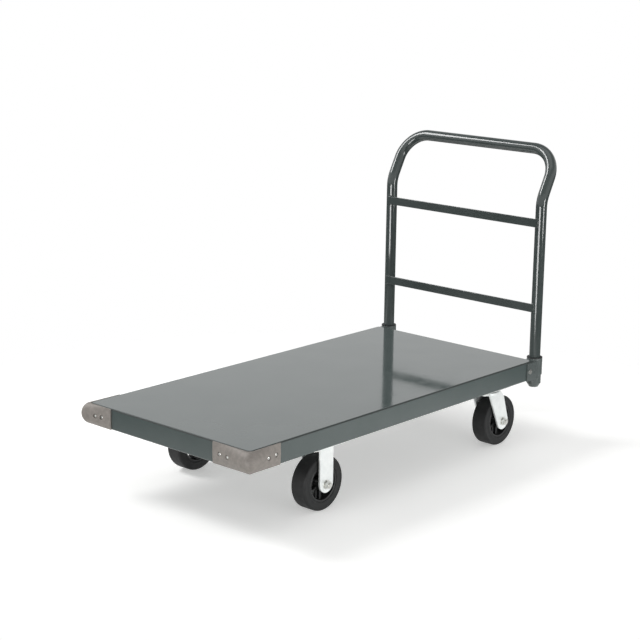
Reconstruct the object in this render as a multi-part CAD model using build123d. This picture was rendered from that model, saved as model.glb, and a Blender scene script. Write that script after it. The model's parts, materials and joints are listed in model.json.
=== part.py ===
from build123d import *
import math
import os

# Steel platform truck with a lift-out pipe handle, two rigid casters in front and two swivel casters behind.
# Frame, in millimetres: +X points forwards, away from the handle, +Y to the pusher's left and +Z up.
# The origin is on the floor, midway along and across the whole truck.

os.makedirs("parts", exist_ok=True)

INCH = 25.4

# deck: one folded steel sheet with welded corners
deck_length = 48 * INCH
deck_width = 24 * INCH
deck_top = 250.0
sheet = 2.7
flange_depth = 59.0
lip_width = 16.0
bend_radius = 4.0
deck_corner_radius = 12.0
deck_corner_reach = 24.0

# wheels and casters: 6 x 2 inch wheels in casters of 7.5 inch overall height
wheel_radius = 3 * INCH
wheel_width = 2 * INCH
caster_height = 7.5 * INCH
caster_y = 240.0
front_caster_from_centre = 288.0
rear_kingpin_from_centre = -460.0
trail = 1.75 * INCH

# handle: one bent pipe standing in two corner sockets
pipe_radius = 33.4 / 2
pipe_wall = 3.4
post_setback = 29.6
post_inset = 17.3
knee_z = 732.0
lean = 28.2
lean_length = 159.5
knee_radius = 90.0
grip_corner_radius = 86.0
rail_height = 25.4
rail_thickness = 4.8
rail_levels = {"upper_rail": 665.6, "lower_rail": 406.6}
rail_edge = 1.2
rail_bite = 1.2
rail_end_inset = 1.5

# corner bumpers
bumper_top_gap = 0.5
bumper_front_legs = {"left": 129.0, "right": 89.0}
bumper_side_leg = 109.0
bumper_screw_z = 222.0
bumper_screw_steps = {"left": (28.0, 61.0), "right": (31.0, 52.0)}
bumper_side_screw_steps = (19.0, 52.0)
recess_depth = 4.6

# a bumper's section is given by its top ledge, its greatest depth and its foot
bumper_nose = (5.0, 23.0, 1.0)
bumper_tip = (3.2, 4.0, 2.6)

# places worked out from the sizes above
flange_bottom = deck_top - flange_depth
rear_reach = deck_length / 2 + post_setback + lean_length * math.sin(math.radians(lean)) + pipe_radius
front_reach = deck_length / 2 + bumper_nose[1]
deck_x = (rear_reach - front_reach) / 2
deck_front = deck_x + deck_length / 2
deck_rear = deck_x - deck_length / 2
deck_side = deck_width / 2
front_caster_x = deck_x + front_caster_from_centre
kingpin_x = deck_x + rear_kingpin_from_centre
post_x = deck_rear - post_setback
post_y = deck_side - post_inset
sides = {"left": 1, "right": -1}


def save(name, *solids):
    """Writes one node, made of one solid or of several separate ones."""
    shape = solids[0] if len(solids) == 1 else Compound(children=list(solids))
    export_step(shape, f"parts/{name}.step")


def block(x0, x1, y0, y1, z0, z1):
    """A box between two corners."""
    return Pos((x0 + x1) / 2, (y0 + y1) / 2, (z0 + z1) / 2) * Box(abs(x1 - x0), abs(y1 - y0), abs(z1 - z0))


def rod(radius, start, axis, length):
    """A cylinder from a start point along an axis."""
    return extrude(Plane(start, z_dir=axis) * Circle(radius), length)


def ring(outer, inner, start, axis, length):
    """A tube from a start point along an axis."""
    return extrude(Plane(start, z_dir=axis) * (Circle(outer) - Circle(inner)), length)


def hexagon(across_flats, start, axis, length):
    """A hexagonal prism with its crown corners taken off, such as a nut blank or a bolt head."""
    outline = Plane(start, z_dir=axis) * RegularPolygon(across_flats / 2, 6, major_radius=False)
    chamfered = chamfer(rod(across_flats / 2 + 0.9, start, axis, length).edges(), 0.8)
    return extrude(outline, length) & chamfered


def mirrored(shape, side):
    """The left-hand shape as it is, or its mirror image for the right-hand side."""
    return shape if side > 0 else shape.mirror(Plane.XZ)


# ---------------------------------------------------------------- deck

screw_radius = 2.5
socket_bolt_radius = 4.0
socket_bolt_z = 221.0
socket_leg_end = 574.0
socket_side_bolt_x = deck_x - 584.0
socket_rear_bolt_y = 244.0
screw_clearance = 0.1
bolt_clearance = 0.3
through_sheet = 8.0


def bumper_seat(step, leg):
    """How far from the deck a screw's seat is, so that every recess is equally deep in the bowed face."""
    return bumper_tip[1] + (bumper_nose[1] - bumper_tip[1]) * step / leg - recess_depth


def bumper_screw_places(hand):
    """Point on the deck's face, outward direction and seat of each screw of one bumper."""
    side, front_leg = sides[hand], bumper_front_legs[hand]
    places = []
    for step in bumper_screw_steps[hand]:
        point = (deck_front, side * (deck_side - front_leg + step), bumper_screw_z)
        places.append((point, (1, 0, 0), bumper_seat(step, front_leg)))
    for step in bumper_side_screw_steps:
        point = (deck_front - bumper_side_leg + step, side * deck_side, bumper_screw_z)
        places.append((point, (0, side, 0), bumper_seat(step, bumper_side_leg)))
    return places


def socket_bolt_places(side):
    """Point on the deck's face and outward direction of each bolt of one socket."""
    return [
        ((socket_side_bolt_x, side * deck_side, socket_bolt_z), (0, side, 0)),
        ((deck_rear, side * socket_rear_bolt_y, socket_bolt_z), (-1, 0, 0)),
    ]


def deck_block(inset=0.0, top=deck_top, bottom=flange_bottom):
    """The deck's outer block, or the same taken in by an inset all round."""
    plan = RectangleRounded(
        deck_length - 2 * inset, deck_width - 2 * inset, max(deck_corner_radius - inset, 1.0)
    )
    return Pos(deck_x, 0, bottom) * extrude(plan, top - bottom)


def folded_sheet():
    """The whole folded sheet: top, flanges, return lips, bends and corners."""
    outer = deck_block()
    outer = fillet(outer.faces().sort_by(Axis.Z)[-1].edges(), bend_radius)
    inner = deck_block(sheet, deck_top - sheet, flange_bottom + sheet)
    inner = fillet(inner.faces().sort_by(Axis.Z)[-1].edges(), bend_radius - sheet)
    mouth = deck_block(sheet + lip_width, deck_top - 2 * sheet, flange_bottom - 1)
    pan = outer - inner - mouth
    for hand, side in sides.items():
        for (x, y, z), (dx, dy, dz), _ in bumper_screw_places(hand):
            start = (x - through_sheet * dx, y - through_sheet * dy, z)
            pan -= rod(screw_radius + screw_clearance, start, (dx, dy, dz), 2 * through_sheet)
        for (x, y, z), (dx, dy, dz) in socket_bolt_places(side):
            start = (x - through_sheet * dx, y - through_sheet * dy, z)
            pan -= rod(socket_bolt_radius + bolt_clearance, start, (dx, dy, dz), 2 * through_sheet)
    return pan


def deck_parts():
    """The folded sheet as its top with the bend, its four straight flanges and its four corners."""
    pan = folded_sheet()
    skirt_top = deck_top - bend_radius
    spans_x = [
        (deck_rear, deck_rear + deck_corner_reach),
        (deck_rear + deck_corner_reach, deck_front - deck_corner_reach),
        (deck_front - deck_corner_reach, deck_front),
    ]
    inner_y = deck_side - deck_corner_reach
    spans_y = [(-deck_side, -inner_y), (-inner_y, inner_y), (inner_y, deck_side)]
    top = pan & block(deck_rear, deck_front, -deck_side, deck_side, skirt_top, deck_top)
    flanges, corners = [], []
    for i, (x0, x1) in enumerate(spans_x):
        for j, (y0, y1) in enumerate(spans_y):
            if i == 1 and j == 1:
                continue
            cut = pan & block(x0, x1, y0, y1, flange_bottom, skirt_top)
            (flanges if 1 in (i, j) else corners).append(cut)
    return top, flanges, corners


channel_width = 128.0
channel_sheet = 4.0
channel_bend = 6.0
fit_gap = 0.5
caster_bolt_spacing = (92.0, 67.0)
caster_bolt_radius = 4.76
caster_bolt_hole = 5.2


def caster_bolt_places(x):
    """Centres of the four bolts of the casters that stand at x, on both sides of the truck."""
    half_x, half_y = caster_bolt_spacing[0] / 2, caster_bolt_spacing[1] / 2
    return [
        (x + sx * half_x, side * caster_y + sy * half_y)
        for side in sides.values()
        for sx in (-1, 1)
        for sy in (-1, 1)
    ]


def cross_channel(x):
    """A channel across the deck's underside that carries one pair of casters on its web."""
    half_span = deck_side - sheet - lip_width - fit_gap
    top = deck_top - sheet
    outer = block(x - channel_width / 2, x + channel_width / 2, -half_span, half_span, caster_height, top)
    outer = fillet(outer.edges().filter_by(Axis.Y).group_by(Axis.Z)[0], channel_bend)
    inner_half = channel_width / 2 - channel_sheet
    inner = block(x - inner_half, x + inner_half, -half_span, half_span, caster_height + channel_sheet, top)
    inner = fillet(inner.edges().filter_by(Axis.Y).group_by(Axis.Z)[0], channel_bend - channel_sheet)
    channel = outer - inner
    for bolt_x, bolt_y in caster_bolt_places(x):
        channel -= rod(caster_bolt_hole, (bolt_x, bolt_y, caster_height - 1), (0, 0, 1), channel_sheet + 2)
    return channel


stiffener_y = 110.0
stiffener_depth = 30.0
stiffener_crown = 44.0
stiffener_foot = 14.0
stiffener_sheet = 2.0


def stiffener(y):
    """A hat-section rib welded under the deck between the cross channels."""
    reach = channel_width / 2 + fit_gap
    x0, x1 = kingpin_x + reach, front_caster_x - reach
    top = deck_top - sheet
    half, t = stiffener_crown / 2, stiffener_sheet
    crown = block(x0, x1, y - half, y + half, top - stiffener_depth, top)
    crown -= block(x0, x1, y - half + t, y + half - t, top - stiffener_depth + t, top)
    feet = [block(x0, x1, y + s * (half - t), y + s * (half + stiffener_foot), top - t, top) for s in (-1, 1)]
    return crown + feet[0] + feet[1]


# ---------------------------------------------------------------- corner bumpers

recess_radius = 6.0
past_guard = 40.0
screw_end = 9.0
screw_head_radius = 4.2
screw_head = 3.0
screw_head_crown = 1.5
drive_radius = 1.4
drive_depth = 1.2


def bumper_section(place, outwards, sizes):
    """The bumper's cross-section: a flat back on the deck's face, a top ledge and a bowed outer side."""
    ledge, depth, foot = sizes
    low, high = flange_bottom, deck_top - bumper_top_gap
    plane = Plane(place, x_dir=outwards, z_dir=Vector(outwards).cross(Vector(0, 0, 1)))
    sides_and_back = Polyline((foot, low), (0, low), (0, high), (ledge, high))
    bow = ThreePointArc((ledge, high), (depth, (low + high) / 2), (foot, low))
    return plane * make_face([*sides_and_back.edges(), bow])


def bumper(hand):
    """A moulded corner guard, thick and bowed at the corner, thin at the end of each leg."""
    front_leg = bumper_front_legs[hand]
    corner = (deck_front, deck_side, 0)
    along_front = loft(
        [
            bumper_section(corner, (1, 0, 0), bumper_nose),
            bumper_section((deck_front, deck_side - front_leg, 0), (1, 0, 0), bumper_tip),
        ]
    )
    along_side = loft(
        [
            bumper_section(corner, (0, 1, 0), bumper_nose),
            bumper_section((deck_front - bumper_side_leg, deck_side, 0), (0, 1, 0), bumper_tip),
        ]
    )
    nose = revolve(bumper_section(corner, (1, 0, 0), bumper_nose), Axis(corner, (0, 0, 1)), 90)
    heel = block(
        deck_front - deck_corner_radius,
        deck_front,
        deck_side - deck_corner_radius,
        deck_side,
        flange_bottom,
        deck_top - bumper_top_gap,
    )
    guard = along_front + along_side + nose + heel - deck_block()
    guard = mirrored(guard, sides[hand])
    for (x, y, z), (dx, dy, dz), seat in bumper_screw_places(hand):
        guard -= rod(screw_radius + screw_clearance, (x - dx, y - dy, z), (dx, dy, dz), past_guard)
        guard -= rod(recess_radius, (x + seat * dx, y + seat * dy, z), (dx, dy, dz), past_guard)
    return guard


def bumper_screw(place, outwards, seat):
    """A pan-head screw at the bottom of its counterbore, through the deck's flange."""
    (x, y, z), (dx, dy, dz) = place, outwards
    shank = rod(screw_radius, (x - screw_end * dx, y - screw_end * dy, z), outwards, screw_end + seat)
    head = rod(screw_head_radius, (x + seat * dx, y + seat * dy, z), outwards, screw_head)
    crown = head.faces().sort_by(Axis((x, y, z), outwards))[-1]
    head = fillet(crown.edges(), screw_head_crown)
    floor = seat + screw_head - drive_depth
    drive = rod(drive_radius, (x + floor * dx, y + floor * dy, z), outwards, screw_head)
    return shank + head - drive


# ---------------------------------------------------------------- handle sockets

socket_radius = 23.5
socket_bore = 21.0
socket_rim = deck_top + 2.0
socket_leg = 4.0
cup_radius = 21.3
cup_top = 200.0
cup_bottom = 161.0
cup_floor = 7.0
cup_taper = (12.0, 7.5)
post_bore = pipe_radius + 0.3
post_bottom = cup_bottom + cup_floor + 0.5
bush_bottom = 215.0
bush_flange = 2.4
bush_flange_edge = 0.6
bush_lead_in = 1.5
bolt_to_leg_end = 13.0
web_depth = 20.0
past_rim = 60.0
socket_hex = 13.0
socket_head = 4.8
socket_nut_height = 6.5
nut_washer = 1.8
nut_washer_radius = 8.0
bolt_past_face = 15.0


def socket_casting():
    """The left-hand corner casting: a sleeve with a closed cup below it, and a leg on each deck face."""
    rear_y0 = socket_rear_bolt_y - bolt_to_leg_end
    side_x1 = deck_x - socket_leg_end
    plan = Rectangle(side_x1 - post_x, socket_leg, align=(Align.MIN, Align.MIN)).moved(
        Location((post_x, deck_side))
    )
    plan += Pos(deck_rear - socket_leg, rear_y0) * Rectangle(
        socket_leg, post_y - rear_y0, align=(Align.MIN, Align.MIN)
    )
    heel = deck_rear + deck_corner_reach
    plan += Pos(post_x, post_y) * Rectangle(heel - post_x, deck_side - post_y, align=(Align.MIN, Align.MIN))
    plan += Pos(post_x, post_y) * Rectangle(deck_rear - post_x, web_depth, align=(Align.MIN, Align.MAX))
    body = Pos(0, 0, flange_bottom) * extrude(plan, deck_top - bend_radius - flange_bottom)
    body += rod(socket_radius, (post_x, post_y, cup_top), (0, 0, 1), socket_rim - cup_top)
    cup = rod(cup_radius, (post_x, post_y, cup_bottom), (0, 0, 1), cup_top + 1 - cup_bottom)
    cup = chamfer(cup.faces().sort_by(Axis.Z)[0].edges(), *cup_taper)
    body = body + cup - deck_block()
    body -= rod(post_bore, (post_x, post_y, cup_bottom + cup_floor), (0, 0, 1), 2 * past_rim)
    body -= rod(socket_bore, (post_x, post_y, bush_bottom), (0, 0, 1), past_rim)
    for place, outwards in socket_bolt_places(1):
        body -= rod(socket_bolt_radius + bolt_clearance, place, outwards, 2 * socket_leg)
    return body


def socket_bush():
    """The left-hand bush that guides the post in the casting's mouth, with a flange on the rim."""
    at = (post_x, post_y, bush_bottom)
    bush = ring(socket_bore, post_bore, at, (0, 0, 1), socket_rim + bush_flange - bush_bottom)
    bush += ring(socket_radius, post_bore, (post_x, post_y, socket_rim), (0, 0, 1), bush_flange)
    bush = chamfer(bush.edges().group_by(Axis.Z)[-1].sort_by(SortBy.RADIUS)[0], bush_lead_in)
    return chamfer(bush.edges().group_by(Axis.Z)[-1].sort_by(SortBy.RADIUS)[-1], bush_flange_edge)


def socket_bolt(place, outwards):
    """A hex bolt from outside the casting to just past its nut."""
    (x, y, z), (dx, dy, dz) = place, outwards
    head_at = (x + socket_leg * dx, y + socket_leg * dy, z)
    start = (x - bolt_past_face * dx, y - bolt_past_face * dy, z)
    shank = rod(socket_bolt_radius, start, outwards, bolt_past_face + socket_leg)
    return shank + hexagon(socket_hex, head_at, outwards, socket_head)


def socket_nut(place, outwards):
    """The nut of a socket bolt, on a washer bent to the inside of the deck's flange."""
    (x, y, z), (dx, dy, dz) = place, outwards
    inwards = (-dx, -dy, -dz)
    washer = rod(nut_washer_radius, place, inwards, sheet + nut_washer) & deck_block(sheet)
    top = sheet + nut_washer
    nut = hexagon(socket_hex, (x - top * dx, y - top * dy, z), inwards, socket_nut_height)
    return washer + nut - rod(socket_bolt_radius, place, inwards, 2 * bolt_past_face)


# ---------------------------------------------------------------- handle


def handle_pipe():
    """The whole bent pipe: up one post, back at the knee, across the grip and down the other post."""
    rad = math.radians(lean)
    top_x = post_x - lean_length * math.sin(rad)
    top_z = knee_z + lean_length * math.cos(rad)
    points = []
    for side in (1, -1):
        y = side * post_y
        run = [(post_x, y, post_bottom), (post_x, y, knee_z), (top_x, y, top_z)]
        points += run if side > 0 else run[::-1]
    radii = [knee_radius, grip_corner_radius, grip_corner_radius, knee_radius]
    path = FilletPolyline(*points, radius=radii)
    section = Plane(points[0], z_dir=(0, 0, 1)) * (Circle(pipe_radius) - Circle(pipe_radius - pipe_wall))
    return sweep(section, path=path)


def handle_rail(level):
    """A flat bar across the deck side of both posts, cut to sit against the pipe."""
    x0 = post_x + pipe_radius - rail_bite
    reach = post_y - rail_end_inset
    bar = block(x0, x0 + rail_thickness, -reach, reach, level - rail_height / 2, level + rail_height / 2)
    bar = fillet(bar.edges().filter_by(Axis.Y), rail_edge)
    for side in sides.values():
        bar -= rod(pipe_radius, (post_x, side * post_y, level - rail_height), (0, 0, 1), 2 * rail_height)
    return bar


# ---------------------------------------------------------------- wheels

fork_gap = 60.0
fork_sheet = 4.8
hub_width = 55.6
hub_bore = 15.0
axle_radius = 6.35
sleeve_radius = 9.5
rim_outer = 52.0
rim_inner = 45.5
boss_radius = 20.0
spokes = 6
spoke_plate = (13.0, 4.0)
spoke_rib = (3.5, 9.0)
boss_chamfer = 1.5
rollers = 9
roller_radius = 2.7
roller_clearance = 0.2
cage_radii = (14.2, 10.2)
cage_end = 3.0
washer_radius = 16.0
bead_sink = 1.6
tread_width = 18.0
shoulder_drop = 1.2
axle_hex = 19.0
axle_head = 8.0
axle_nut_height = 10.0
axle_washer = (13.0, 2.0)
axle_thread = 15.0
grease_radius = 2.0
first_spoke = 30


def tyre(x, y):
    """A rubber tyre moulded on the rim, with rounded shoulders and a raised bead ring."""
    half = wheel_width / 2
    side_profile = [
        (rim_outer, half - bead_sink),
        (rim_outer + 3.5, half - bead_sink),
        (rim_outer + 5.0, half - 0.2),
        (wheel_radius - 9.0, half),
        (wheel_radius - shoulder_drop, tread_width),
    ]
    other_side = [(r, -y0) for r, y0 in reversed(side_profile)]
    outline = Polyline(*side_profile, (wheel_radius, 0), *other_side, close=True)
    face = make_face(outline)
    shoulders = [v for v in face.vertices() if v.X > wheel_radius - 10 and abs(v.Y) > 1]
    face = fillet(shoulders, 5.0)
    body = revolve(face, Axis.Y, 360)
    return Pos(x, y, wheel_radius) * body


def hub(x, y):
    """A spoked iron wheel centre with its boss, rim and drilled grease hole."""
    half = wheel_width / 2 - bead_sink
    start = (0, -half, 0)
    rim = ring(rim_outer, rim_inner, start, (0, 1, 0), 2 * half)
    boss = ring(boss_radius, hub_bore, (0, -hub_width / 2, 0), (0, 1, 0), hub_width)
    boss = chamfer(boss.edges().filter_by(GeomType.CIRCLE).sort_by(SortBy.RADIUS)[-2:], boss_chamfer)
    body = rim + boss
    x0, x1 = boss_radius - 2, rim_inner + 1.5
    (plate_y, plate_z), (rib_y, rib_z) = spoke_plate, spoke_rib
    spoke = block(x0, x1, -plate_y, plate_y, -plate_z, plate_z) + block(x0, x1, -rib_y, rib_y, -rib_z, rib_z)
    for k in range(spokes):
        body += Rot(0, first_spoke + k * 360 / spokes, 0) * spoke
    grease = rod(grease_radius, (0, 0, 0), (0, 0, 1), boss_radius + 4)
    body -= Rot(0, 2 * first_spoke, 0) * grease
    return Pos(x, y, wheel_radius) * body


def roller_bearing(x, y):
    """A caged roller bearing in the hub: its cage and its rollers, as separate solids."""
    length = hub_width - 4
    start = (x, y - length / 2, wheel_radius)
    cage = ring(*cage_radii, start, (0, 1, 0), length)
    needles = []
    pitch = (hub_bore + sleeve_radius) / 2
    for k in range(rollers):
        turn = math.radians(k * 360 / rollers)
        at = (x + pitch * math.cos(turn), y - length / 2 + cage_end, wheel_radius + pitch * math.sin(turn))
        pocket = length - 2 * cage_end
        cage -= rod(roller_radius + roller_clearance, at, (0, 1, 0), pocket)
        start_y = at[1] + bolt_clearance
        needles.append(rod(roller_radius, (at[0], start_y, at[2]), (0, 1, 0), pocket - 2 * bolt_clearance))
    return [cage, *needles]


def axle_sleeve(x, y):
    """The steel sleeve that the axle bolt clamps between the fork's legs."""
    bore = axle_radius + screw_clearance
    return ring(sleeve_radius, bore, (x, y - fork_gap / 2, wheel_radius), (0, 1, 0), fork_gap)


def thrust_washers(x, y):
    """The two washers between the hub and the fork's legs."""
    thick = (fork_gap - hub_width) / 2 - bolt_clearance
    bore = sleeve_radius + screw_clearance
    at = (fork_gap / 2 - thick, -fork_gap / 2)
    return [ring(washer_radius, bore, (x, y + a, wheel_radius), (0, 1, 0), thick) for a in at]


def axle_bolt(x, y, side):
    """The axle bolt: head on the truck's inner side, thread end on its outer side."""
    outer = fork_gap / 2 + fork_sheet
    shank = rod(axle_radius, (x, y - side * outer, wheel_radius), (0, side, 0), 2 * outer + axle_thread)
    shank = chamfer(shank.edges().filter_by(GeomType.CIRCLE).sort_by(Axis.Y)[-1 if side > 0 else 0], 1.0)
    return shank + hexagon(axle_hex, (x, y - side * outer, wheel_radius), (0, -side, 0), axle_head)


def axle_nut(x, y, side):
    """The axle bolt's nut, with its washer, on the outer side of the fork."""
    outer = fork_gap / 2 + fork_sheet
    washer_size, thick = axle_washer
    washer = rod(washer_size, (x, y + side * outer, wheel_radius), (0, side, 0), thick)
    nut = hexagon(axle_hex, (x, y + side * (outer + thick), wheel_radius), (0, side, 0), axle_nut_height)
    bore = rod(axle_radius, (x, y + side * outer, wheel_radius), (0, side, 0), thick + axle_nut_height)
    return washer + nut - bore


# ---------------------------------------------------------------- casters

plate_length = 114.0
plate_width = 102.0
plate_thickness = 6.0
leg_width = 52.0
rigid_end_rise = 3.0
swivel_end_radius = 25.0
plate_corner = 8.0
yoke_reach = (30.0, 27.0)
yoke_shoulder = (34.0, 148.0, 13.0)


def caster_plate(x, y):
    """The caster's top plate with its four bolt holes."""
    bottom = caster_height - plate_thickness
    plan = RectangleRounded(plate_length, plate_width, plate_corner)
    half_x, half_y = caster_bolt_spacing[0] / 2, caster_bolt_spacing[1] / 2
    for sx in (-1, 1):
        for sy in (-1, 1):
            plan -= Pos(sx * half_x, sy * half_y) * Circle(caster_bolt_hole)
    return Pos(x, y, bottom) * extrude(plan, plate_thickness)


def fork_legs(outline, x, y, axle_x):
    """Two legs of one side outline, one each side of the wheel, with the axle hole through both."""
    legs = []
    for start in (-fork_gap / 2 - fork_sheet, fork_gap / 2):
        plane = Plane((x, y + start, 0), x_dir=(1, 0, 0), z_dir=(0, -1, 0))
        leg = extrude(plane * outline, -fork_sheet)
        hole_at = (axle_x, y + start - 1, wheel_radius)
        legs.append(leg - rod(axle_radius + screw_clearance, hole_at, (0, 1, 0), fork_sheet + 2))
    return legs


def rigid_fork(x, y):
    """A rigid caster's fork: plate, crown and two straight legs in one pressing."""
    top, end_z = caster_height - plate_thickness, wheel_radius + rigid_end_rise
    half = leg_width / 2
    outline = Pos(0, (top + end_z) / 2) * Rectangle(leg_width, top - end_z) + Pos(0, end_z) * Circle(half)
    legs = fork_legs(outline, x, y, x)
    crown = block(x - half, x + half, y - fork_gap / 2, y + fork_gap / 2, top - fork_sheet, top)
    return caster_plate(x, y) + crown + legs[0] + legs[1]


race_radius = 30.0
ball_radius = 4.0
balls = 20
race_gap_z = 176.0
race_gap = 3.0
groove_clearance = 0.15
race_rim = 10.0
yoke_base = 8.0
kingpin_radius = 8.0
kingpin_end = 158.0
kingpin_hex = 24.0
kingpin_washer = (15.0, 2.0)
kingpin_nut_bottom = 159.0
turning_gap = 0.3


def race_groove(x, y):
    """The ball groove's torus, a little larger than the balls."""
    return Pos(x, y, race_gap_z) * Torus(race_radius, ball_radius + groove_clearance)


def swivel_plate(x, y):
    """A swivel caster's top plate with its upper ball race pressed into it."""
    top = caster_height - plate_thickness
    race_foot = race_gap_z + race_gap / 2
    race = rod(race_radius + race_rim, (x, y, race_foot), (0, 0, 1), top - race_foot)
    race = chamfer(race.edges().sort_by(Axis.Z)[0], 2.0)
    plate = caster_plate(x, y) + race - race_groove(x, y)
    return plate - rod(kingpin_radius, (x, y, race_gap_z), (0, 0, 1), caster_height - race_gap_z + 1)


def swivel_yoke(x, y):
    """A swivel caster's yoke: lower race, crown and two legs that lean back to the axle."""
    base_top, base_bottom = race_gap_z - race_gap / 2, race_gap_z - yoke_base
    outer = fork_gap / 2 + fork_sheet
    back, front = yoke_reach
    edge = Line((-back, base_top - 1.0), (front, base_top - 1.0))
    shoulder_x, shoulder_z, shoulder_radius = yoke_shoulder
    shoulder = CenterArc((-shoulder_x, shoulder_z), shoulder_radius, 0, 360)
    end = CenterArc((-trail, wheel_radius), swivel_end_radius, 0, 360)
    legs = fork_legs(make_hull([edge, *shoulder.edges(), *end.edges()]), x, y, x - trail)
    crown = block(x - back, x + front, y - outer, y + outer, base_bottom, base_top - 1.0)
    race = rod(race_radius + race_rim + 1.0, (x, y, base_bottom), (0, 0, 1), base_top - base_bottom)
    yoke = crown + race + legs[0] + legs[1] - race_groove(x, y)
    bore = kingpin_radius + screw_clearance / 2
    return yoke - rod(bore, (x, y, base_bottom - 5), (0, 0, 1), 4 * yoke_base)


def ball_race(x, y):
    """The balls between the swivel's two races."""
    places = PolarLocations(race_radius, balls)
    return [Pos(x, y, race_gap_z) * place * Sphere(ball_radius) for place in places]


def kingpin(x, y):
    """The kingpin, riveted flush into the top plate and threaded below."""
    return rod(kingpin_radius, (x, y, kingpin_end), (0, 0, 1), caster_height - kingpin_end)


def kingpin_nut(x, y):
    """The kingpin's nut with its washer face, just clear of the turning yoke."""
    top = race_gap_z - yoke_base - turning_gap
    washer_size, thick = kingpin_washer
    base = top - thick
    nut = hexagon(kingpin_hex, (x, y, kingpin_nut_bottom), (0, 0, 1), base - kingpin_nut_bottom)
    washer = rod(washer_size, (x, y, base), (0, 0, 1), thick)
    return nut + washer - rod(kingpin_radius, (x, y, kingpin_end), (0, 0, 1), 2 * yoke_base)


caster_hex = 14.3
caster_bolt_head = 6.0
caster_bolt_length = 26.0
caster_nut_height = 8.3


def caster_bolt(x, y):
    """A hex bolt up through a caster plate and the channel's web."""
    under = caster_height - plate_thickness
    shank = rod(caster_bolt_radius, (x, y, under), (0, 0, 1), caster_bolt_length)
    return shank + hexagon(caster_hex, (x, y, under), (0, 0, -1), caster_bolt_head)


def caster_nut(x, y):
    """A hex nut on top of the channel's web."""
    base = caster_height + channel_sheet
    bore = rod(caster_bolt_radius, (x, y, base), (0, 0, 1), caster_nut_height)
    return hexagon(caster_hex, (x, y, base), (0, 0, 1), caster_nut_height) - bore


# ---------------------------------------------------------------- the whole truck


def build_deck():
    top, flanges, corners = deck_parts()
    save("deck_top_sheet", top)
    save("deck_flanges", *flanges)
    save("deck_corners", *corners)
    save("front_cross_channel", cross_channel(front_caster_x))
    save("rear_cross_channel", cross_channel(kingpin_x))
    for hand, side in sides.items():
        save(f"{hand}_stiffener", stiffener(side * stiffener_y))
        save(f"{hand}_corner_bumper", bumper(hand))
        save(f"{hand}_bumper_screws", *[bumper_screw(*place) for place in bumper_screw_places(hand)])
        save(f"{hand}_handle_socket", mirrored(socket_casting(), side))
        save(f"{hand}_socket_bush", mirrored(socket_bush(), side))
    socket_places = [place for side in sides.values() for place in socket_bolt_places(side)]
    save("socket_bolts", *[socket_bolt(*place) for place in socket_places])
    save("socket_nuts", *[socket_nut(*place) for place in socket_places])
    bolt_places = caster_bolt_places(front_caster_x) + caster_bolt_places(kingpin_x)
    save("caster_bolts", *[caster_bolt(*place) for place in bolt_places])
    save("caster_nuts", *[caster_nut(*place) for place in bolt_places])


def build_handle():
    save("handle_pipe", handle_pipe())
    for name, level in rail_levels.items():
        save(name, handle_rail(level))


def build_wheel(corner, x, y):
    save(f"{corner}_tyre", tyre(x, y))
    save(f"{corner}_hub", hub(x, y))
    save(f"{corner}_roller_bearing", *roller_bearing(x, y))


def build_axle(corner, x, y, side):
    save(f"{corner}_axle_bolt", axle_bolt(x, y, side))
    save(f"{corner}_axle_nut", axle_nut(x, y, side))
    save(f"{corner}_axle_sleeve", axle_sleeve(x, y))


def build_casters():
    for hand, side in sides.items():
        y = side * caster_y
        save(f"front_{hand}_fork", rigid_fork(front_caster_x, y))
        build_axle(f"front_{hand}", front_caster_x, y, side)
        build_wheel(f"front_{hand}", front_caster_x, y)
        save(f"rear_{hand}_top_plate", swivel_plate(kingpin_x, y))
        save(f"rear_{hand}_kingpin", kingpin(kingpin_x, y))
        save(f"rear_{hand}_ball_race", *ball_race(kingpin_x, y))
        save(f"rear_{hand}_yoke", swivel_yoke(kingpin_x, y))
        build_axle(f"rear_{hand}", kingpin_x - trail, y, side)
        build_wheel(f"rear_{hand}", kingpin_x - trail, y)
    front = [w for side in sides.values() for w in thrust_washers(front_caster_x, side * caster_y)]
    save("front_thrust_washers", *front)
    save("kingpin_nuts", *[kingpin_nut(kingpin_x, side * caster_y) for side in sides.values()])
    for hand, side in sides.items():
        save(f"rear_{hand}_thrust_washers", *thrust_washers(kingpin_x - trail, side * caster_y))


build_deck()
build_handle()
build_casters()
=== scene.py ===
import json
import math

import bmesh
import bpy
from mathutils import Matrix, Quaternion, Vector

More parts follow.
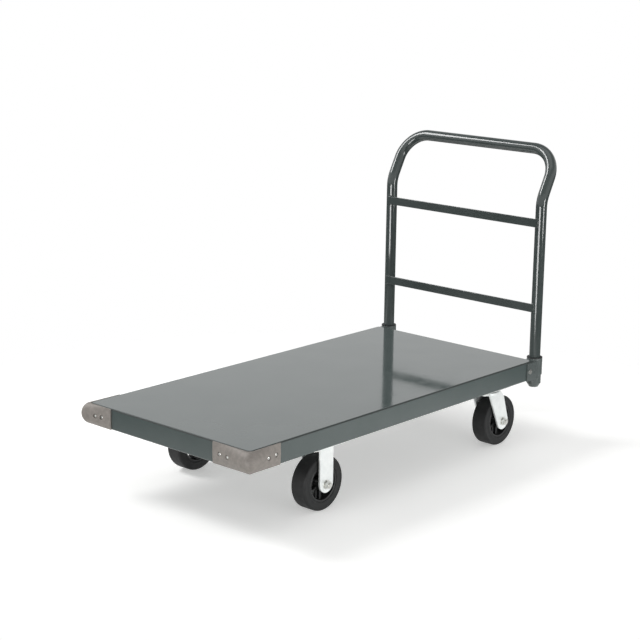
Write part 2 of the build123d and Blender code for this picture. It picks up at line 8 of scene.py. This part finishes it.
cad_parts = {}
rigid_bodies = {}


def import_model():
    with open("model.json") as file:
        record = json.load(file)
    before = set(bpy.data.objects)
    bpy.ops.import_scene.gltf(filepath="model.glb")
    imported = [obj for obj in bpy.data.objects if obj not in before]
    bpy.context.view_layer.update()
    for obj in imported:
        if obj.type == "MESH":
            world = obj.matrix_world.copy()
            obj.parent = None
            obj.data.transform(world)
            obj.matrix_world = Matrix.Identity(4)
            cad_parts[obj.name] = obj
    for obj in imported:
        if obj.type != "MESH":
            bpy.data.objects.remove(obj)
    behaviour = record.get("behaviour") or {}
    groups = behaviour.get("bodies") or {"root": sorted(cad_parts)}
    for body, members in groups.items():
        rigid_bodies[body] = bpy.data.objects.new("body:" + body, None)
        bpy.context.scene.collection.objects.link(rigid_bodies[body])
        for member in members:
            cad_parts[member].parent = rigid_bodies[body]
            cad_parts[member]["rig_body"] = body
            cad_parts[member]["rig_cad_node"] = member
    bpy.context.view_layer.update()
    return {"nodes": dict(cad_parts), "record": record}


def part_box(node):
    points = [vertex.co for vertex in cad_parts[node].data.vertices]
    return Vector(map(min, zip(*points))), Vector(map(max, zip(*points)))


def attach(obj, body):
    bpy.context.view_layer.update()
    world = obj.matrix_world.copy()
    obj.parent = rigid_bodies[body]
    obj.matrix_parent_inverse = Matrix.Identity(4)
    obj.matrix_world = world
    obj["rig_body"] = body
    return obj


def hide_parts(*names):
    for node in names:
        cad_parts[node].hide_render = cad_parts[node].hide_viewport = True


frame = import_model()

# a steel platform truck, in metres: +X points forwards, away from the handle, and +Z is up
nodes = frame["nodes"]
sides = {"left": 1, "right": -1}
nearlySquare = 0.9  # how closely a direction follows an axis, as a cosine, to count as following it
nodeMergeGap = 0.00002  # corners of a CAD node closer than this are one
print("frame loaded:", len(nodes), "nodes")


def clearSelection():
    bpy.ops.object.select_all(action="DESELECT")


def only(piece):
    clearSelection()
    piece.select_set(True)
    bpy.context.view_layer.objects.active = piece


def startEditing(piece):
    only(piece)
    bpy.ops.object.mode_set(mode="EDIT")


def doneEditing():
    bpy.ops.object.mode_set(mode="OBJECT")


def settle(name):
    # names the new primitive and puts its place in its mesh
    piece = bpy.context.object
    piece.name = name
    piece.data.name = name
    bpy.ops.object.transform_apply(location=True, rotation=True, scale=True)
    return piece


def addBlock(name, low, high):
    clearSelection()
    bpy.ops.mesh.primitive_cube_add(size=1, location=(low + high) / 2, scale=high - low)
    return settle(name)


def pick(kind, test):
    # in edit mode, selects just the edges or faces that pass the test
    bpy.ops.mesh.select_mode(type=kind)
    bpy.ops.mesh.select_all(action="DESELECT")
    mesh = bmesh.from_edit_mesh(bpy.context.object.data)
    for part in {"EDGE": mesh.edges, "FACE": mesh.faces}[kind]:
        if test(part):
            part.select_set(True)
    mesh.select_flush_mode()
    bmesh.update_edit_mesh(bpy.context.object.data)


def runsAlong(edge, axis):
    # whether an edge is as good as parallel to an axis, 0 to 2
    return abs((edge.verts[1].co - edge.verts[0].co).normalized()[axis]) > nearlySquare


def isRim(edge):
    # whether an edge lies between a level face and an upright one
    if len(edge.link_faces) != 2 or runsAlong(edge, 2):
        return False
    return abs(edge.link_faces[0].normal.z - edge.link_faces[1].normal.z) > nearlySquare


def roundEdges(test, radius, steps):
    pick("EDGE", test)
    bpy.ops.mesh.bevel(offset=radius, offset_type="OFFSET", segments=steps, affect="EDGES")


def useModifier(piece, kind, **settings):
    only(piece)
    modifier = piece.modifiers.new(kind.lower(), kind)
    for key, value in settings.items():
        setattr(modifier, key, value)
    bpy.ops.object.modifier_apply(modifier=modifier.name)


def copyOf(piece, name, shift=(0, 0, 0)):
    # a copy with its own mesh, and its new place in that mesh
    copy = piece.copy()
    copy.data = piece.data.copy()
    copy.name = name
    copy.data.name = name
    copy.data.transform(Matrix.Translation(shift))
    bpy.context.scene.collection.objects.link(copy)
    return copy


def mergedCopy(node, name):
    # a CAD node is loose triangles, so a copy of it is merged before it is shaped
    copy = copyOf(nodes[node], name)
    copy.parent = None
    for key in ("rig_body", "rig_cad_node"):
        if key in copy:
            del copy[key]
    startEditing(copy)
    bpy.ops.mesh.select_all(action="SELECT")
    bpy.ops.mesh.remove_doubles(threshold=nodeMergeGap)
    doneEditing()
    return copy


def meltEdges(piece, grain, passes, keep):
    # melts hard corners into the small fillets of a casting or a weld
    useModifier(piece, "REMESH", mode="VOXEL", voxel_size=grain)
    useModifier(piece, "SMOOTH", factor=0.5, iterations=passes)
    useModifier(piece, "DECIMATE", ratio=keep)


def finishPiece(piece, body, slot, replaced=(), smooth=35, even=True):
    only(piece)
    piece.data.materials.clear()
    piece.data.materials.append(finishes[slot])
    bpy.ops.object.shade_smooth_by_angle(angle=math.radians(smooth))
    if even:
        useModifier(piece, "WEIGHTED_NORMAL", weight=90, keep_sharp=True)
    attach(piece, body)
    if replaced:
        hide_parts(*replaced)


def colour(hexValue):
    # an sRGB hex value as the linear colour that a shader takes
    parts = [int(hexValue[i:i + 2], 16) / 255 for i in (1, 3, 5)]
    linear = [c / 12.92 if c <= 0.04045 else ((c + 0.055) / 1.055) ** 2.4 for c in parts]
    return (*linear, 1.0)


def perMetre(millimetres):
    # noise scale that gives features of this size
    return 1000 / millimetres


# nearly all of a noise pattern lies in the first range, and the second leaves more of the base tone
noiseSpread = {"From Min": 0.3, "From Max": 0.7}
mottleSpread = {"From Min": 0.33, "From Max": 0.7}


def connect(node, inputs):
    # links a socket, and sets anything else as the input's own value
    for key, value in inputs.items():
        if isinstance(value, bpy.types.NodeSocket):
            node.id_data.links.new(value, node.inputs[key])
        else:
            node.inputs[key].default_value = value


def addNode(tree, kind, inputs, output=0, **settings):
    # adds a node with its settings and links, and gives back the output that is used
    node = tree.nodes.new("ShaderNode" + kind)
    for key, value in settings.items():
        setattr(node, key, value)
    connect(node, inputs)
    return node.outputs[output]


def startFinish(name):
    # a new material, its nodes, and object coordinates in metres
    finish = bpy.data.materials.new(name)
    finish.use_nodes = True
    tree = finish.node_tree
    return finish, tree, addNode(tree, "TexCoord", {}, "Object")


def closeFinish(finish, inputs):
    connect(finish.node_tree.nodes["Principled BSDF"], inputs)
    return finish


# stove enamel sprayed on steel: glossy, faintly orange-peeled, with soft waves where the sheet is thin;
# in millimetres, enamelGrain holds how far apart its features lie, and each enamel's peel and waves how high
enamelGrain = {"patches": 90, "rubs": 35, "peel": 2.2, "waves": 170}
# along the bend at the edge of the top, a painted dark line stands in for the shade the bend shows, and the
# band is duller there, between these heights in metres
paintedBendShade = {"low": 0.2458, "high": 0.2497, "fadeLow": 0.0006, "fadeHigh": 0.0004, "colour": "#2c3231",
            "roughness": 0.6}
enamels = {
    "deck_enamel": {"name": "greyStoveEnamelOnSheet", "base": "#4a5453", "shade": "#505958", "waves": 0.35,
                    "peel": 0.006, "gloss": (0.06, 0.12), "bend": paintedBendShade},
    "underside_enamel": {"name": "thinEnamelUnderDeck", "base": "#4a5150", "shade": "#555c5a", "waves": 0,
                         "peel": 0.05, "gloss": (0.3, 0.5), "bend": None},
    "handle_enamel": {"name": "greyStoveEnamelOnPipe", "base": "#3f4645", "shade": "#474e4d", "waves": 0,
                      "peel": 0.0006, "gloss": (0.05, 0.09), "bend": None},
    "socket_enamel": {"name": "greyEnamelOnCasting", "base": "#4f5655", "shade": "#5a6160", "waves": 0,
                      "peel": 0.1, "gloss": (0.22, 0.36), "bend": None},
}


def makeEnamel(look):
    finish, tree, place = startFinish(look["name"])
    patches = addNode(tree, "TexNoise", {"Vector": place, "Scale": perMetre(enamelGrain["patches"]),
                                         "Detail": 4})
    patches = addNode(tree, "MapRange", {"Value": patches, **noiseSpread})
    tone = addNode(tree, "Mix", {0: patches, 6: colour(look["base"]), 7: colour(look["shade"])}, 2,
                   data_type="RGBA")
    rubs = addNode(tree, "TexNoise", {"Vector": place, "Scale": perMetre(enamelGrain["rubs"]), "Detail": 6,
                                      "Roughness": 0.6})
    dull = addNode(tree, "MapRange", {"Value": rubs, **noiseSpread,
                                      "To Min": look["gloss"][0], "To Max": look["gloss"][1]})
    # painted shade: a dark line along the bend of the deck's top edge, made duller there too
    if look["bend"]:
        bendShadeBand = look["bend"]
        height = addNode(tree, "SeparateXYZ", {0: place}, "Z")
        above = addNode(tree, "MapRange", {"Value": height, "From Min": bendShadeBand["low"],
                                           "From Max": bendShadeBand["low"] + bendShadeBand["fadeLow"]})
        below = addNode(tree, "MapRange", {"Value": height, "From Min": bendShadeBand["high"],
                                           "From Max": bendShadeBand["high"] - bendShadeBand["fadeHigh"]})
        edge = addNode(tree, "Math", {0: above, 1: below}, operation="MULTIPLY")
        tone = addNode(tree, "Mix", {0: edge, 6: tone, 7: colour(bendShadeBand["colour"])}, 2, data_type="RGBA")
        dull = addNode(tree, "Mix", {0: edge, 2: dull, 3: bendShadeBand["roughness"]})
    bumps = addNode(tree, "TexNoise", {"Vector": place, "Scale": perMetre(enamelGrain["peel"]), "Detail": 1})
    skin = addNode(tree, "Bump", {"Height": bumps, "Distance": look["peel"] / 1000, "Strength": 1})
    if look["waves"]:
        swell = addNode(tree, "TexNoise", {"Vector": place, "Scale": perMetre(enamelGrain["waves"]),
                                           "Detail": 1})
        skin = addNode(tree, "Bump", {"Height": swell, "Distance": look["waves"] / 1000, "Strength": 1,
                                      "Normal": skin})
    return closeFinish(finish, {"Base Color": tone, "Roughness": dull, "Normal": skin, "IOR": 1.5})


# bare sanded casting: dull warm grey, mottled, with a coarse grain and faint grinding lines;
# sizes and heights in millimetres, and the grinding lines run level, so their noise is squeezed in height
bareCasting = {"base": "#7a7570", "shade": "#96908a", "line": "#79736d", "mottle": 11, "lineSize": 6,
               "flatter": 9, "lineShare": 0.35, "lineHeight": 0.15, "grain": 1.6, "grainHeight": 0.12,
               "gloss": (0.5, 0.68), "metal": 0.2}


def makeBareCasting(look):
    finish, tree, place = startFinish("bareSandedCasting")
    blotches = addNode(tree, "TexNoise", {"Vector": place, "Scale": perMetre(look["mottle"]), "Detail": 5,
                                          "Roughness": 0.6})
    patches = addNode(tree, "MapRange", {"Value": blotches, **noiseSpread})
    tone = addNode(tree, "Mix", {0: patches, 6: colour(look["base"]), 7: colour(look["shade"])}, 2,
                   data_type="RGBA")
    drawn = addNode(tree, "Mapping", {"Vector": place, "Scale": (1, 1, look["flatter"])})
    lines = addNode(tree, "TexNoise", {"Vector": drawn, "Scale": perMetre(look["lineSize"]), "Detail": 6,
                                       "Roughness": 0.7})
    faint = addNode(tree, "MapRange", {"Value": lines, **noiseSpread, "To Max": look["lineShare"]})
    tone = addNode(tree, "Mix", {0: faint, 6: tone, 7: colour(look["line"])}, 2, data_type="RGBA")
    dull = addNode(tree, "MapRange", {"Value": blotches, **noiseSpread,
                                      "To Min": look["gloss"][0], "To Max": look["gloss"][1]})
    grain = addNode(tree, "TexNoise", {"Vector": place, "Scale": perMetre(look["grain"]), "Detail": 3})
    skin = addNode(tree, "Bump", {"Height": grain, "Distance": look["grainHeight"] / 1000, "Strength": 1})
    skin = addNode(tree, "Bump", {"Height": lines, "Distance": look["lineHeight"] / 1000, "Strength": 0.6,
                                  "Normal": skin})
    return closeFinish(finish, {"Base Color": tone, "Roughness": dull, "Normal": skin,
                                "Metallic": look["metal"]})


# finishes that are one mottled tone with one grain: the two tones, the mottle's and the grain's size and
# the grain's height in millimetres, the gloss range, how metallic it looks, and how much the grain is
# squeezed along each axis where the steel was drawn or rolled
plainLooks = {
    # mould-on rubber: near black, satin, a little greyer where it is scuffed
    "black_rubber": {"name": "mouldedBlackRubber", "base": "#08090a", "shade": "#121415", "mottle": 14,
                     "grain": 0.9, "height": 0.03, "gloss": (0.6, 0.78), "metal": 0, "drawn": (1, 1, 1)},
    # black enamel brushed on sand-cast iron: thick, semi-gloss, with the sand's grain under it
    "hub_enamel": {"name": "blackEnamelOnCastIron", "base": "#0c0d0e", "shade": "#181a1b", "mottle": 20,
                   "grain": 1.8, "height": 0.18, "gloss": (0.32, 0.5), "metal": 0, "drawn": (1, 1, 1)},
    # black moulded nylon: matt, with the fine texture of its mould
    "black_plastic": {"name": "blackMouldedNylon", "base": "#08090a", "shade": "#121314", "mottle": 6,
                      "grain": 1.2, "height": 0.03, "gloss": (0.5, 0.62), "metal": 0, "drawn": (1, 1, 1)},
    # bright zinc plate on pressed steel: pale, faintly cloudy, with the lines of the rolled sheet, and its
    # passivated skin scatters more than it mirrors
    "zinc_plate": {"name": "brightZincOnPressing", "base": "#f1f4f3", "shade": "#e3e7e6", "mottle": 24,
                   "grain": 3, "height": 0.004, "gloss": (0.28, 0.36), "metal": 0.35, "drawn": (6, 6, 0.5)},
    # bright zinc plate on a turned fastener: pale and a little sharper
    "bright_fastener": {"name": "brightZincOnFastener", "base": "#e4e5e2", "shade": "#cfcfca", "mottle": 24,
                        "grain": 3, "height": 0.004, "gloss": (0.2, 0.34), "metal": 1, "drawn": (6, 6, 0.5)},
    # ground bearing steel under a film of grease: darker and yellower where the grease lies
    "bearing_steel": {"name": "greasyBearingSteel", "base": "#a7a7a4", "shade": "#77705f", "mottle": 7,
                      "grain": 1.5, "height": 0.002, "gloss": (0.2, 0.42), "metal": 1, "drawn": (1, 1, 1)},
}


def makePlainFinish(look):
    finish, tree, place = startFinish(look["name"])
    mottle = addNode(tree, "TexNoise", {"Vector": place, "Scale": perMetre(look["mottle"]), "Detail": 5,
                                        "Roughness": 0.6})
    patches = addNode(tree, "MapRange", {"Value": mottle, **mottleSpread})
    tone = addNode(tree, "Mix", {0: patches, 6: colour(look["base"]), 7: colour(look["shade"])}, 2,
                   data_type="RGBA")
    dull = addNode(tree, "MapRange", {"Value": mottle, **noiseSpread,
                                      "To Min": look["gloss"][0], "To Max": look["gloss"][1]})
    drawn = addNode(tree, "Mapping", {"Vector": place, "Scale": look["drawn"]})
    grain = addNode(tree, "TexNoise", {"Vector": drawn, "Scale": perMetre(look["grain"]), "Detail": 3})
    skin = addNode(tree, "Bump", {"Height": grain, "Distance": look["height"] / 1000, "Strength": 1})
    return closeFinish(finish, {"Base Color": tone, "Roughness": dull, "Normal": skin,
                                "Metallic": look["metal"]})


finishes = {slot: makeEnamel(look) for slot, look in enamels.items()}
finishes.update({slot: makePlainFinish(look) for slot, look in plainLooks.items()})
finishes["bare_casting"] = makeBareCasting(bareCasting)
for part in frame["record"]["subparts"]:
    nodes[part["node"]].data.materials.clear()
    nodes[part["node"]].data.materials.append(finishes[part["material_slot"]])
print("finishes made:", len(finishes))


# one sheet, folded down all round and back under
deck = {"cornerRadius": 0.012, "cornerSteps": 8, "bend": 0.004, "bendSteps": 5, "sheet": 0.0027, "lip": 0.016,
        "nodes": ("deck_top_sheet", "deck_flanges", "deck_corners")}


def makeDeck():
    piece = addBlock("deckSheet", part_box("deck_flanges")[0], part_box("deck_top_sheet")[1])
    startEditing(piece)
    roundEdges(lambda e: runsAlong(e, 2), deck["cornerRadius"], deck["cornerSteps"])
    pick("FACE", lambda f: f.normal.z < -nearlySquare)
    bpy.ops.mesh.inset(thickness=deck["lip"] + deck["sheet"])
    bpy.ops.mesh.delete(type="FACE")
    roundEdges(isRim, deck["bend"], deck["bendSteps"])
    doneEditing()
    useModifier(piece, "SOLIDIFY", thickness=deck["sheet"], offset=-1, use_even_offset=True)
    finishPiece(piece, "truck", "deck_enamel", deck["nodes"])


makeDeck()
print("deck folded")


# the handle: a bent pipe, two flat rails and their welds
handle = {"pipe": 0.0167, "wall": 0.0034, "lean": 28.2, "leanLength": 0.1595, "kneeRadius": 0.09,
          "cornerRadius": 0.086, "around": 48, "kneeSteps": 12, "cornerSteps": 24, "railEdge": 0.0012,
          "railSteps": 3, "seam": 0.00005}
rails = {"upper_rail": "upperRailBar", "lower_rail": "lowerRailBar"}
weld = {"puddle": 0.0026, "flat": 0.85, "puddlesUp": 9, "puddlesAcross": 3, "pitch": 0.0022,
        "sink": 0.0004, "proud": 0.001, "grain": 0.0005, "passes": 1, "keep": 0.4}


def postSpot():
    low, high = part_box("handle_pipe")
    return high.x - handle["pipe"], high.y - handle["pipe"], low.z


def makePipe():
    x, y, foot = postSpot()
    lean = math.radians(handle["lean"])
    leaning = Vector((-math.sin(lean), 0, math.cos(lean)))
    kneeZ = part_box("handle_pipe")[1].z - handle["pipe"] - handle["leanLength"] * math.cos(lean)
    kneeCut = handle["kneeRadius"] * math.tan(lean / 2)
    straight = handle["leanLength"] - kneeCut - handle["cornerRadius"]
    clearSelection()
    bpy.ops.mesh.primitive_circle_add(vertices=handle["around"], radius=handle["pipe"],
                                      fill_type="NOTHING", location=(x, y, foot))
    piece = settle("bentPipe")
    startEditing(piece)
    bpy.ops.mesh.select_all(action="SELECT")
    # up the post, back at the knee, along the lean, round the corner and half across the grip;
    # spin turns left-handed about its axis
    bpy.ops.mesh.extrude_region_move(TRANSFORM_OT_translate={"value": (0, 0, kneeZ - kneeCut - foot)})
    bpy.ops.mesh.spin(steps=handle["kneeSteps"], angle=lean, axis=(0, 1, 0),
                      center=(x - handle["kneeRadius"], y, kneeZ - kneeCut))
    bpy.ops.mesh.extrude_region_move(TRANSFORM_OT_translate={"value": leaning * straight})
    corner = Vector((x, y, kneeZ)) + leaning * (kneeCut + straight)
    across = Vector((0, -1, 0))
    bpy.ops.mesh.spin(steps=handle["cornerSteps"], angle=math.pi / 2, axis=across.cross(leaning),
                      center=corner + across * handle["cornerRadius"])
    bpy.ops.mesh.extrude_region_move(TRANSFORM_OT_translate={"value": across * (y - handle["cornerRadius"])})
    doneEditing()
    useModifier(piece, "MIRROR", use_axis=(False, True, False), merge_threshold=2 * handle["seam"])
    startEditing(piece)
    bpy.ops.mesh.select_all(action="SELECT")
    bpy.ops.mesh.remove_doubles(threshold=handle["seam"])
    bpy.ops.mesh.normals_make_consistent(inside=False)
    doneEditing()
    useModifier(piece, "SOLIDIFY", thickness=handle["wall"], offset=-1)
    finishPiece(piece, "handle", "handle_enamel", ["handle_pipe"], smooth=50, even=False)


def makeRails():
    low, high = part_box("upper_rail")
    upper = addBlock(rails["upper_rail"], low, high)
    startEditing(upper)
    roundEdges(lambda e: runsAlong(e, 1), handle["railEdge"], handle["railSteps"])
    doneEditing()
    lower = copyOf(upper, rails["lower_rail"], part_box("lower_rail")[0] - low)
    for piece, node in ((upper, "upper_rail"), (lower, "lower_rail")):
        finishPiece(piece, "handle", "handle_enamel", [node])


def weldSpots():
    # a row of puddles up the end of each rail, and a shorter one along its top and bottom edge
    x = postSpot()[0] + handle["pipe"] - weld["sink"]
    for node in rails:
        low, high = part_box(node)
        for side in sides.values():
            for k in range(weld["puddlesUp"]):
                z = low.z + (high.z - low.z) * (k + 0.5) / weld["puddlesUp"]
                yield Vector((x, side * (high.y + weld["proud"]), z))
            for z in (low.z - weld["proud"], high.z + weld["proud"]):
                for k in range(weld["puddlesAcross"]):
                    yield Vector((x - weld["sink"] * k, side * (high.y - weld["pitch"] * k), z))


def makeRailWelds():
    clearSelection()
    bpy.ops.mesh.primitive_ico_sphere_add(subdivisions=2, radius=weld["puddle"], scale=(1, 1, weld["flat"]))
    puddle = settle("weldPuddle")
    puddles = [copyOf(puddle, "railWelds", spot) for spot in weldSpots()]
    bpy.data.objects.remove(puddle)
    only(puddles[0])
    for copy in puddles:
        copy.select_set(True)
    bpy.ops.object.join()
    # melted together, the puddles are one bead
    meltEdges(puddles[0], weld["grain"], weld["passes"], weld["keep"])
    finishPiece(puddles[0], "handle", "handle_enamel", smooth=60, even=False)


makePipe()
makeRails()
makeRailWelds()
print("handle bent and welded")


# corner guards and handle sockets: castings, so every corner has a small fillet
castings = {"left_corner_bumper": ("leftCornerGuard", "bare_casting"),
            "right_corner_bumper": ("rightCornerGuard", "bare_casting"),
            "left_handle_socket": ("leftPostSocket", "socket_enamel"),
            "right_handle_socket": ("rightPostSocket", "socket_enamel")}
castingGrain = 0.0008
castingPasses = 2
castingKeep = 0.3  # the share of the triangles that is kept


def makeCastings():
    for node, (name, slot) in castings.items():
        piece = mergedCopy(node, name)
        meltEdges(piece, castingGrain, castingPasses, castingKeep)
        finishPiece(piece, "truck", slot, [node], smooth=50, even=False)


makeCastings()
print("castings poured")


# a wheel: the tyre's side steps are how far in from the last circle, and how far out that circle stands
wheel = {"around": 96, "shoulder": 0.0065, "shoulderSteps": 6, "hubGrain": 0.0012, "hubPasses": 5,
         "sideSteps": ((0.0012, -0.0009), (0.0095, 0), (0.0012, 0.0009), (0.0024, 0), (0.0034, -0.0016))}
corners = ("front_left", "front_right", "rear_left", "rear_right")


def makeTyre(name):
    low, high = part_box("front_left_tyre")
    clearSelection()
    bpy.ops.mesh.primitive_cylinder_add(
        vertices=wheel["around"], radius=(high.z - low.z) / 2, depth=high.y - low.y,
        location=(low + high) / 2, rotation=(math.pi / 2, 0, 0))
    piece = settle(name)
    startEditing(piece)
    roundEdges(lambda e: not runsAlong(e, 1), wheel["shoulder"], wheel["shoulderSteps"])
    for side in sides.values():
        pick("FACE", lambda f: f.normal.y * side > nearlySquare and len(f.verts) == wheel["around"])
        for inwards, outwards in wheel["sideSteps"]:
            bpy.ops.mesh.inset(thickness=inwards)
            bpy.ops.transform.translate(value=(0, outwards * side, 0))
    pick("FACE", lambda f: len(f.verts) == wheel["around"])
    bpy.ops.mesh.delete(type="FACE")
    pick("EDGE", lambda e: len(e.link_faces) == 1)
    bpy.ops.mesh.bridge_edge_loops()
    bpy.ops.mesh.select_all(action="SELECT")
    bpy.ops.mesh.normals_make_consistent(inside=False)
    doneEditing()
    return piece


def makeWheels():
    tyre = makeTyre("modelTyre")
    spokedHub = mergedCopy("front_left_hub", "modelHub")
    meltEdges(spokedHub, wheel["hubGrain"], wheel["hubPasses"], castingKeep)
    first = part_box("front_left_tyre")[0]
    for corner in corners:
        end, hand = corner.split("_")
        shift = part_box(corner + "_tyre")[0] - first
        for model, kind, slot in ((tyre, "tyre", "black_rubber"), (spokedHub, "hub", "hub_enamel")):
            piece = copyOf(model, end + hand.capitalize() + kind.capitalize(), shift)
            finishPiece(piece, corner + "_wheel", slot, [f"{corner}_{kind}"], smooth=45,
                        even=kind == "tyre")
    for model in (tyre, spokedHub):
        bpy.data.objects.remove(model)


makeWheels()
print("wheels made:", len(corners))


# the floor and the white dome round it
stage = {"floorRadius": 1.6, "around": 96, "fadeFrom": 0.75, "floor": "#f6f6f5", "floorShade": "#efefee",
         "clouds": 400, "roughness": 0.9, "floorGlow": 0.4, "horizonGlow": 1.0, "zenithGlow": 0.28,
         "lowGlow": 0.08, "horizon": (-0.05, 0.03), "zenith": (0.42, 0.62)}
# each lamp stands this far from the truck, in degrees round from +X and up, and its glow is that of its
# face; one is hung for its reflection alone, and one lights the paint but isn't mirrored in it
lamps = {
    "overheadSoftbox": {"round": 50, "up": 78, "away": 2.6, "width": 2.2, "height": 2.2, "glow": 0.9},
    "lowReflector": {"round": 13, "up": -9.5, "away": 6.0, "width": 3.2, "height": 1.5, "glow": 12.5,
                     "lights": "gloss"},
    "leftReflector": {"round": 92, "up": -2, "away": 5.0, "width": 1.3, "height": 1.3, "glow": 14.5},
    "farSoftbox": {"round": -56, "up": 38, "away": 5.0, "width": 1.6, "height": 1.8, "glow": 14.0},
    "frontFill": {"round": 13, "up": -9.5, "away": 6.0, "width": 2.2, "height": 1.3, "glow": 3.0,
                  "lights": "paint"},
}
lampTarget = Vector((-0.4, 0, 0.6))


def makeStage():
    clearSelection()
    bpy.ops.mesh.primitive_circle_add(vertices=stage["around"], radius=stage["floorRadius"], fill_type="NGON")
    floor = settle("studioFloor")
    finish, tree, place = startFinish("paleStudioPaper")
    clouds = addNode(tree, "TexNoise", {"Vector": place, "Scale": perMetre(stage["clouds"]), "Detail": 2})
    tone = addNode(tree, "Mix", {0: clouds, 6: colour(stage["floor"]), 7: colour(stage["floorShade"])}, 2,
                   data_type="RGBA")
    # the paper fades into the white around it, so no edge shows
    outwards = addNode(tree, "VectorMath", {0: place}, "Value", operation="LENGTH")
    fade = addNode(tree, "MapRange", {"Value": outwards, "From Min": stage["fadeFrom"],
                                      "From Max": stage["floorRadius"], "To Min": 1, "To Max": 0},
                   interpolation_type="SMOOTHSTEP")
    floor.data.materials.append(closeFinish(finish, {
        "Base Color": tone, "Roughness": stage["roughness"], "Emission Color": tone,
        "Emission Strength": stage["floorGlow"], "Alpha": fade}))


def makeWorld():
    world = bpy.data.worlds.new("paleStudio")
    bpy.context.scene.world = world
    world.use_nodes = True
    tree = world.node_tree
    # dim below the floor, white round the horizon and grey overhead; the viewer sees plain white behind all
    height = addNode(tree, "SeparateXYZ", {0: addNode(tree, "TexCoord", {}, "Generated")}, "Z")
    low = addNode(tree, "MapRange", {"Value": height, "From Min": stage["horizon"][0],
                                     "From Max": stage["horizon"][1], "To Min": stage["lowGlow"],
                                     "To Max": stage["horizonGlow"]})
    high = addNode(tree, "MapRange", {"Value": height, "From Min": stage["zenith"][0],
                                      "From Max": stage["zenith"][1],
                                      "To Max": stage["horizonGlow"] - stage["zenithGlow"]})
    sky = addNode(tree, "Math", {0: low, 1: high}, operation="SUBTRACT")
    seen = addNode(tree, "LightPath", {}, "Is Camera Ray")
    level = addNode(tree, "Mix", {0: seen, 2: sky, 3: 1.0})
    connect(tree.nodes["Background"], {"Color": (1, 1, 1, 1), "Strength": level})


def makeLamp(name, values):
    data = bpy.data.lights.new(name, "AREA")
    data.shape = "RECTANGLE"
    data.size = values["width"]
    data.size_y = values["height"]
    data.energy = values["glow"] * math.pi * values["width"] * values["height"]
    turn, up = math.radians(values["round"]), math.radians(values["up"])
    towards = Vector((math.cos(turn) * math.cos(up), math.sin(turn) * math.cos(up), math.sin(up)))
    lamp = bpy.data.objects.new(name, data)
    lamp.location = lampTarget + towards * values["away"]
    lamp.rotation_euler = (-towards).to_track_quat("-Z", "Y").to_euler()
    lamp.visible_camera = False
    lamp.visible_diffuse = values.get("lights") != "gloss"
    lamp.visible_glossy = values.get("lights") != "paint"
    bpy.context.scene.collection.objects.link(lamp)


# the viewer stands off the middle of the deck, in metres and degrees
camera = {"fromDeck": (3.3689, 3.0144), "height": 1.5327, "azimuth": 131.965, "down": 13.733,
          "roll": 0.77, "lens": 92.15, "sensor": 36.0, "reach": 50}


def makeCamera():
    low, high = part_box("deck_top_sheet")
    data = bpy.data.cameras.new("studioCamera")
    data.lens = camera["lens"]
    data.sensor_width = camera["sensor"]
    data.clip_end = camera["reach"]
    viewer = bpy.data.objects.new("studioCamera", data)
    viewer.location = ((low.x + high.x) / 2 + camera["fromDeck"][0], camera["fromDeck"][1], camera["height"])
    turn, down = math.radians(camera["azimuth"]), math.radians(camera["down"])
    look = Vector((-math.sin(turn) * math.cos(down), math.cos(turn) * math.cos(down), -math.sin(down)))
    viewer.rotation_mode = "QUATERNION"
    roll = Quaternion((0, 0, 1), math.radians(camera["roll"]))
    viewer.rotation_quaternion = look.to_track_quat("-Z", "Y") @ roll
    bpy.context.scene.collection.objects.link(viewer)
    bpy.context.scene.camera = viewer


makeStage()
makeWorld()
makeCamera()
for name, values in lamps.items():
    makeLamp(name, values)
bpy.context.scene.view_settings.view_transform = "Standard"
print("stage set")
